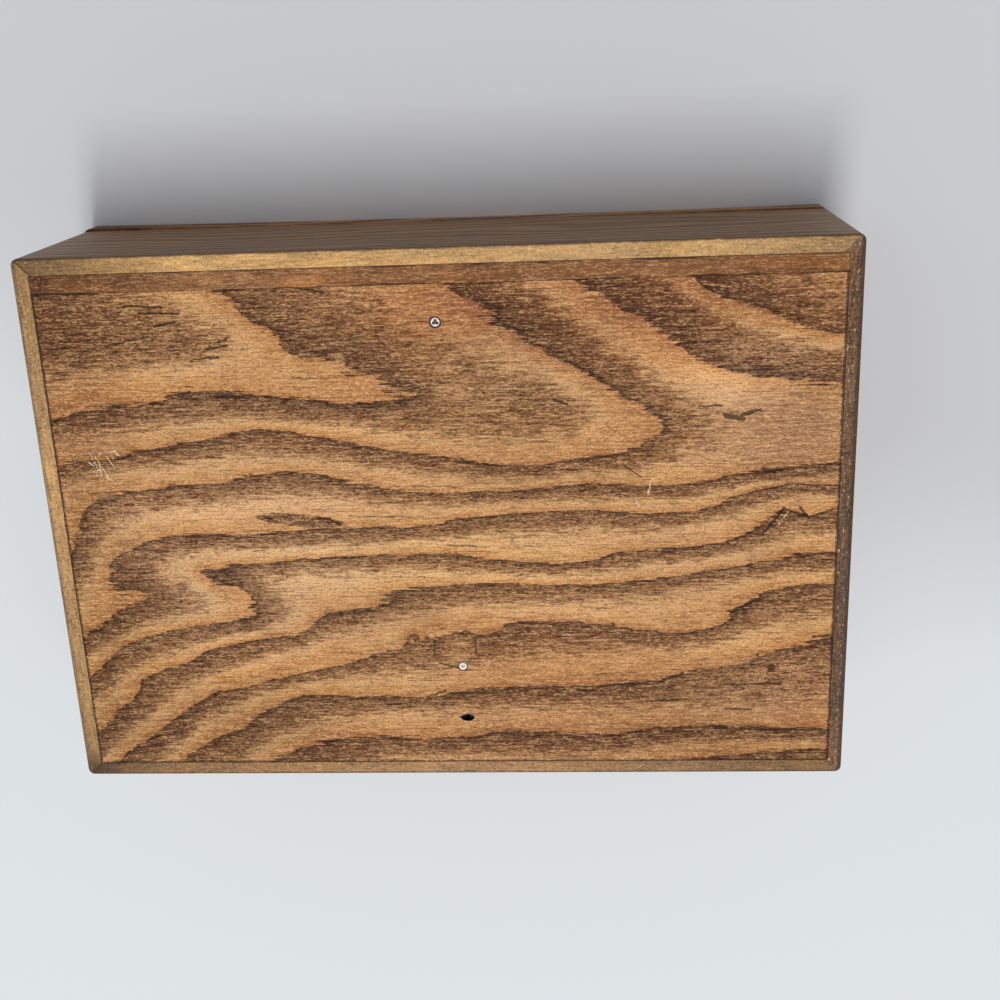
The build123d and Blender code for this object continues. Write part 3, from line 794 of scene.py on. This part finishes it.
def sawn_wood(name, along, pith, turn, ring_width, tint, roughness=0.5, contrast=1, gloss=wood_gloss,
              rim=None, edges=None):
    """Stained softwood of a board, cut from rings round a pith line that runs nearly along it.

    along is the axis of the fibres, pith a point on the pith line, turn how the line leans in
    degrees, tint the colour that the stain is multiplied by. rim is an entry of the rims above.
    edges names the node whose outer edges are darkened with painted shade.
    """
    graph = Graph(bpy.data.materials.new(name))
    place = graph.place()
    centred = graph.vector("SUBTRACT", place, pith)
    leaning = graph.turned(centred, turn)
    flat = [1, 1, 1]
    flat[along] = 0
    across = graph.vector("MULTIPLY", leaning, flat)
    radius = graph.measure("LENGTH", across)
    swell = graph.level(fibres(graph, place, along, 90, 22, 2, 0.5, pith), 0.2, 0.8, -1.3, 1.3)
    ring = graph.plus(graph.math("DIVIDE", radius, ring_width), swell)
    colour, dark, _ = ring_tones(graph, ring, place, along, contrast)
    colour, texture = flecked(graph, colour, dark, place, along, contrast)
    colour = graph.mix(1, colour, tint, "MULTIPLY")
    if rim:
        colour = rim_colour(graph, place, along, colour, *rim)
    # painted shade on the outer edges of the named node
    if edges:
        colour = edge_shaded(graph, place, colour, edges)
    relief = graph.minus(texture, graph.times(dark, 0.2))
    rough = graph.level(dark, 0, 1, roughness, roughness + 0.1)
    return graph.finish(Base_Color=colour, Roughness=rough, Normal=graph.bump(relief, board_relief),
                        Specular_IOR_Level=gloss)


def toned(graph, along, tones):
    """Colour along a list of (place in millimetres, colour) stops."""
    first, last = tones[0][0], tones[-1][0]
    stops = [((place - first) / (last - first), colour) for place, colour in tones]
    return graph.ramp(graph.level(along, first, last, 0, 1), stops)


def worn(graph, along, colour, shades):
    """Colour that is darker or brighter along a list of (place in millimetres, screen shade) stops."""
    tones = [(place, (*[shade ** screen_gamma] * 3, 1)) for place, shade in shades]
    return graph.mix(1, colour, toned(graph, along, tones), "MULTIPLY")


def edge_shaded(graph, place, colour, node):
    """Colour with painted shade that darkens the outer edges of a board."""
    low, high = (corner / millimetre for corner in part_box(node))
    x, y, _ = graph.axes(place)
    gaps = [graph.minus(x, low.x), graph.minus(high.x, x), graph.minus(y, low.y), graph.minus(high.y, y)]
    nearest = reduce(graph.smaller, gaps)
    return graph.mix(graph.fade(nearest, *edge_shade_reach, 0, edge_shade_cover), colour, edge_shade_colour)


def rim_colour(graph, place, along, colour, tone, shades, flecks, glints, dirt):
    """Colour of a side board with its own tone and painted glint highlights on the rim, painted light that
    makes the walls paler towards their ends, and dirt on the arrises, mitres and a corner.
    """
    x, y, z = graph.axes(place)
    fleck = graph.noise(place, (0.8, 0.5, 0.5), 4, 0.7, (3, 6, 9), 1.2)
    # painted highlights: glints on the rim
    glint = graph.fade(fibres(graph, place, along, 1.2, 0.5, 2, 0.6, (8, 1, 4), 0.6), 0.59, 0.72)
    line = fibres(graph, place, along, 6, 0.6, 3, 0.6, (8, 2, 5))
    patch = fibres(graph, place, along, 14, 4, 2, 0.5, (6, 6, 1))
    spread = flecks / 3
    shade = graph.plus(graph.level(fleck, 0.25, 0.75, -0.75 * flecks, 0.75 * flecks),
                       graph.level(line, 0.25, 0.75, 1 - spread, 1 + spread))
    shade = graph.plus(shade, graph.level(patch, 0.25, 0.75, -0.2, 0.2))
    rim = worn(graph, (x, y)[along], graph.shaded(tone, graph.larger(shade, 0.15)), shades)
    rim = graph.mix(graph.times(glint, glints), rim, painted_glint_colour)
    colour = graph.mix(graph.fade(z, *rim_top), colour, rim)

    # Painted light: the walls grow paler towards their ends, along the fibre lines
    from_x = graph.minus(box_high.x / millimetre, graph.math("ABSOLUTE", x))
    from_y = graph.minus(box_high.y / millimetre, graph.math("ABSOLUTE", y))
    end_light = graph.times(graph.fade((from_x, from_y)[along], *end_light_reach, 0, end_light_cover), line)
    colour = graph.mix(graph.times(end_light, graph.fade(z, *wall_foot)), colour, end_light_colour)
    uneven = graph.level(graph.noise(place, (3, 3, 3), 3, 0.6), 0.3, 0.7, -0.22, 0.22)
    mitre = graph.math("ABSOLUTE", graph.minus(from_x, from_y))
    mitre = graph.fade(graph.plus(mitre, uneven), *mitre_reach, 0, mitre_cover)
    arris = graph.plus(graph.smaller(from_x, from_y), graph.math("ABSOLUTE", z))
    arris = graph.fade(graph.plus(arris, uneven), *arris_reach, 0, dirt)
    corner = graph.measure("DISTANCE", place, dirty_corner)
    corner = graph.fade(graph.plus(corner, uneven), *dirty_reach, 0, corner_cover)
    dirt = graph.larger(graph.larger(mitre, arris), corner)
    return graph.mix(dirt, colour, grime_colour)


def filler_wood():
    """Strip beside the front rim, pieced from darker and redder wood, with dark seams."""
    graph = Graph(bpy.data.materials.new("filler_wood"))
    place = graph.place()
    x, y, _ = graph.axes(place)
    sway = graph.level(graph.noise(place, (9, 3, 9), 3, 0.6), 0.25, 0.75, -7, 7)
    colour = toned(graph, graph.plus(x, sway), filler_tones)
    wander = fibres(graph, place, x_axis, 26, 3, 3, 0.6, (1, 2, 8), 0.5)
    dark = graph.fade(wander, 0.42, 0.62)
    colour = graph.shaded(colour, graph.level(dark, 0, 1, 1.12, 0.82))
    colour, texture = flecked(graph, colour, dark, place, x_axis, strip_strength)
    blob = graph.fade(oval(graph, place, strip_blob, strip_blob_half), *blob_edge)
    broken = graph.fade(graph.noise(place, (1.1, 1.1, 1.1), 2, 0.6), 0.4, 0.56)
    colour = graph.mix(graph.times(graph.times(blob, broken), blob_cover), colour, knot_colour)
    low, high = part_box("bottom_filler_strip")
    inner = graph.minus(high.y / millimetre, y)
    outer = graph.minus(y, low.y / millimetre)
    bold = graph.level(fibres(graph, place, x_axis, 16, 3, 2, 0.6, (5, 2, 2)), 0.35, 0.65, -0.5, 0.35)
    seam = graph.fade(graph.minus(graph.smaller(inner, outer), bold), 0.3, 0.02)
    colour = graph.mix(graph.times(seam, strip_seam_cover), colour, check_colour)
    return graph.finish(Base_Color=colour, Roughness=0.55, Normal=graph.bump(texture, strip_relief),
                        Specular_IOR_Level=wood_gloss)


def brass(name, roughness):
    """Dulled brass with brushed lines, handling marks and darker patches."""
    graph = Graph(bpy.data.materials.new(name))
    place = graph.place()
    brushed = graph.noise(place, (6, 0.12, 0.12), 3, 0.6)
    patch = graph.noise(place, (2.2, 2.2, 2.2), 4, 0.6, (4, 4, 4))
    colour = graph.ramp(patch, brass_tones)
    rough = graph.plus(graph.level(patch, 0.3, 0.7, 0.16, -0.04), roughness)
    rough = graph.plus(rough, graph.level(brushed, 0.3, 0.7, -0.05, 0.05))
    relief = graph.plus(brushed, graph.times(patch, 0.5))
    return graph.finish(Base_Color=colour, Metallic=1, Roughness=rough,
                        Normal=graph.bump(relief, brass_relief))


def steel(name, node, bright_radius, dent_tarnish):
    """Bright nail steel, tarnished down in its dents, with painted dark reflection on the head's rounded
    edge outside its bright middle.
    """
    graph = Graph(bpy.data.materials.new(name))
    place = graph.place()
    low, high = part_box(node)
    x, y, _ = graph.axes(graph.vector("SUBTRACT", place, (low + high) / 2 / millimetre))
    flat = graph.add("ShaderNodeCombineXYZ", {"X": x, "Y": y}).outputs["Vector"]
    away = graph.measure("LENGTH", flat)
    depth = graph.minus(graph.axes(place)[2], low.z / millimetre)
    patch = graph.noise(place, (0.5, 0.5, 0.5), 3, 0.6)
    # painted dark reflection of the head's rounded edge, outside its bright middle
    rim = graph.fade(away, bright_radius - 0.1, bright_radius + 0.08)
    tarnish_and_reflection = graph.larger(rim, graph.fade(depth, 0.05, 0.16, 0, dent_tarnish))
    tarnish_and_reflection = graph.larger(tarnish_and_reflection, graph.fade(patch, 0.55, 0.7, 0, 0.3))
    colour = graph.mix(tarnish_and_reflection, nail_bright, nail_dark)
    metal = graph.level(tarnish_and_reflection, 0, 1, 0.4, 0.1)
    relief = graph.noise(place, (0.25, 0.25, 0.25), 3, 0.6, (2, 7, 1))
    rough = graph.level(patch, 0.3, 0.7, 0.4, 0.55)
    return graph.finish(Base_Color=colour, Metallic=metal, Roughness=rough,
                        Normal=graph.bump(relief, nail_relief))


# Each side board: its fibres' axis, a point on its pith line in millimetres, how the line leans in
# degrees, the rings' width in millimetres and its rim
boards = {
    "front_board": (x_axis, (0, -52, 78), (0, 1.5, 1), 5.5, golden_rim),
    "back_board": (x_axis, (0, 58, -40), (0, -1.2, 1.4), 6.0, brown_rim),
    "left_board": (y_axis, (-84, 0, 66), (1.6, 0, 1), 5.0, tan_rim),
    "right_board": (y_axis, (88, 0, -36), (-1.4, 0, 1.2), 5.5, dark_rim),
}
for node, (along, pith, turn, ring_width, rim) in boards.items():
    assign(node, sawn_wood(f"{node}_wood", along, pith, turn, ring_width, wall_tint, contrast=0.35,
                           gloss=wall_gloss, rim=rim))
assign("bottom_filler_strip", filler_wood())
assign("divider", sawn_wood("divider_wood", y_axis, pith=(-30, 0, 90), turn=(2, 0, 3), ring_width=6.0,
                            tint=inner_tint, roughness=0.6, contrast=0.7))
# the lid's outer edges are darkened with painted shade
assign("lid_panel", sawn_wood("lid_wood", x_axis, pith=(0, 18, -26), turn=(0, 3.2, 1.6), ring_width=7.5,
                              tint=lid_tint, roughness=0.42, contrast=0.8, edges="lid_panel"))
bottom_board(underside_wood())

hinge_material = brass("hinge_brass", roughness=0.3)
screw_material = brass("screw_brass", roughness=0.22)
front_steel = steel("front_nail_steel", "front_nail", bright_radius=1.06, dent_tarnish=1)
rear_steel = steel("rear_nail_steel", "rear_nail", bright_radius=1.0, dent_tarnish=0.25)
punched_nail("front_nail", front_dents, front_steel)
punched_nail("rear_nail", rear_dents, rear_steel)
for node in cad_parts:
    if "screw" in node or node.endswith("pin"):
        assign(node, screw_material)
    elif "hinge" in node:
        assign(node, hinge_material)


# The photograph shows the box from below, lying on its lid, so one plane lies at the lid's top
# and shows from below, and the floor that the box stands on shows from above.
table_bright = linear(213, 217, 219)
table_dim = linear(196, 197, 200)
floor_colour = linear(226, 227, 229)
backdrop_colour = linear(228, 230, 232)
room_colour = linear(227, 228, 230)
room_strength = 0.62
stage_half = 1.5
stage_gap = 0.0002
fade_start, fade_end = 0.35, 1.1
dimming = (3.5, -11.8, 0)
dimming_start = 0.367
window_place = (-0.1, 0.72, -3.1)
ceiling_place = (0.6, 0.75, 1.5)
lamp_aim = (0, 0, 0.03)


def plane(name, height, faces_down, material):
    """Stage plane of one face, seen from one side."""
    half = stage_half
    corners = [(x, y, height) for x, y in ((-half, -half), (half, -half), (half, half), (-half, half))]
    if faces_down:
        corners.reverse()
    mesh = bpy.data.meshes.new(name)
    mesh.from_pydata(corners, [], [(0, 1, 2, 3)])
    mesh.materials.append(material)
    obj = bpy.data.objects.new(name, mesh)
    bpy.context.collection.objects.link(obj)
    obj.visible_diffuse = False
    obj.visible_transmission = False
    obj.visible_shadow = False


def table_tone(graph, here):
    """Tone of the table, which falls off away from the window."""
    fall = graph.measure("DOT_PRODUCT", here, dimming)
    return graph.mix(graph.fade(graph.plus(fall, dimming_start), 0, 1), table_bright, table_dim)


def stage_material(name, tone=None, through_floor=False):
    """Matt surface that shows from its own side only and fades into the backdrop further off.

    One that is seen through the floor doesn't show above it, where it would hang over the box.
    """
    graph = Graph(bpy.data.materials.new(name))
    here = graph.add("ShaderNodeTexCoord").outputs["Object"]
    colour = table_tone(graph, here) if tone is None else tone
    matt = graph.add("ShaderNodeBsdfDiffuse", {"Color": colour}).outputs["BSDF"]
    clear = graph.add("ShaderNodeBsdfTransparent").outputs["BSDF"]
    hidden = graph.add("ShaderNodeNewGeometry").outputs["Backfacing"]
    away = graph.measure("LENGTH", here)
    hidden = graph.larger(hidden, graph.fade(away, fade_start, fade_end))
    if through_floor:
        path = graph.add("ShaderNodeLightPath").outputs
        above = graph.math("LESS_THAN", path["Transparent Depth"], 0.5)
        hidden = graph.larger(hidden, graph.times(above, path["Is Camera Ray"]))
    return graph.shown(graph.add("ShaderNodeMixShader", {0: hidden, 1: matt, 2: clear}).outputs["Shader"])


plane("table", lid_height + stage_gap, True, stage_material("table", through_floor=True))
plane("floor", base_height - stage_gap, False, stage_material("floor", floor_colour))


def area_lamp(name, place, aim, width, length, power):
    """Rectangular soft lamp at a place, aimed at a point."""
    data = bpy.data.lights.new(name, "AREA")
    data.shape = "RECTANGLE"
    data.size = width
    data.size_y = length
    data.energy = power
    obj = bpy.data.objects.new(name, data)
    bpy.context.collection.objects.link(obj)
    obj.location = place
    obj.rotation_mode = "QUATERNION"
    obj.rotation_quaternion = (Vector(aim) - Vector(place)).to_track_quat("-Z", "Y")


area_lamp("window", window_place, lamp_aim, width=0.5, length=1.7, power=70)
area_lamp("ceiling", ceiling_place, lamp_aim, width=0.8, length=0.8, power=20)


def room():
    """World of even light, which the camera, gloss and glass see as a pale backdrop."""
    graph = Graph(bpy.data.worlds.new("room"), "ShaderNodeOutputWorld")
    path = graph.add("ShaderNodeLightPath").outputs
    seen = [path[ray] for ray in ("Is Camera Ray", "Is Glossy Ray", "Is Transmission Ray")]
    inputs = {"Color": room_colour, "Strength": room_strength}
    light = graph.add("ShaderNodeBackground", inputs).outputs["Background"]
    backdrop = graph.add("ShaderNodeBackground", {"Color": backdrop_colour}).outputs["Background"]
    inputs = {0: most(graph, seen), 1: light, 2: backdrop}
    return graph.shown(graph.add("ShaderNodeMixShader", inputs).outputs["Shader"])


bpy.context.scene.world = room()

# Camera fitted to the corners of the underside and of the seam
camera_place = Vector((0.03708, -0.1143, -0.31559))
camera_right = Vector((0.99754, 0.03841, 0.05872))
camera_forward = Vector((-0.06797, 0.32101, 0.94464))
focal_pixels = 1338
picture_pixels = 1000
sensor_width = 36
nearest_seen = 0.01
camera_data = bpy.data.cameras.new("camera")
camera_data.sensor_width = sensor_width
camera_data.lens = sensor_width * focal_pixels / picture_pixels
camera_data.clip_start = nearest_seen
camera = bpy.data.objects.new("camera", camera_data)
bpy.context.collection.objects.link(camera)
camera_up = camera_right.cross(camera_forward).normalized()
axes = Matrix((camera_right, camera_up, -camera_forward)).transposed()
camera.rotation_mode = "QUATERNION"
camera.rotation_quaternion = axes.to_quaternion()
camera.location = camera_place
bpy.context.scene.camera = camera
bpy.context.scene.view_settings.view_transform = "Standard"
